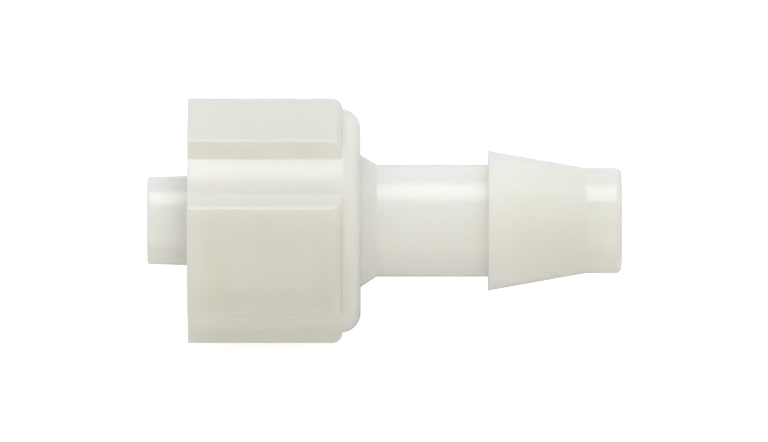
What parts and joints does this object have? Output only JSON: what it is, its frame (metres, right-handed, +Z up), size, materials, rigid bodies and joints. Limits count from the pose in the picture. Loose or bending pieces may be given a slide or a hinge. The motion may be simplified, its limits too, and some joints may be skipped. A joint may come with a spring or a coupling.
{
  "type": "luer lock fitting",
  "caption": "Moulded male luer lock fitting with a ribbed lock collar at one end and a single hose barb at the other, in milky translucent plastic.",
  "frame": {"origin": "on the bore axis, in the plane of the lock collar's open face", "axes": "+X along the bore axis towards the hose barb's end, +Z up through the middle of a groove between two grip pads, +Y through the next groove"},
  "size_m": [0.0216, 0.0106, 0.0106],
  "materials": {
    "natural_polypropylene": "semi-gloss, milky translucent, unpigmented"
  },
  "bodies": {
    "root": {"luer_lock_fitting": "natural_polypropylene"}
  },
  "joints": []
}
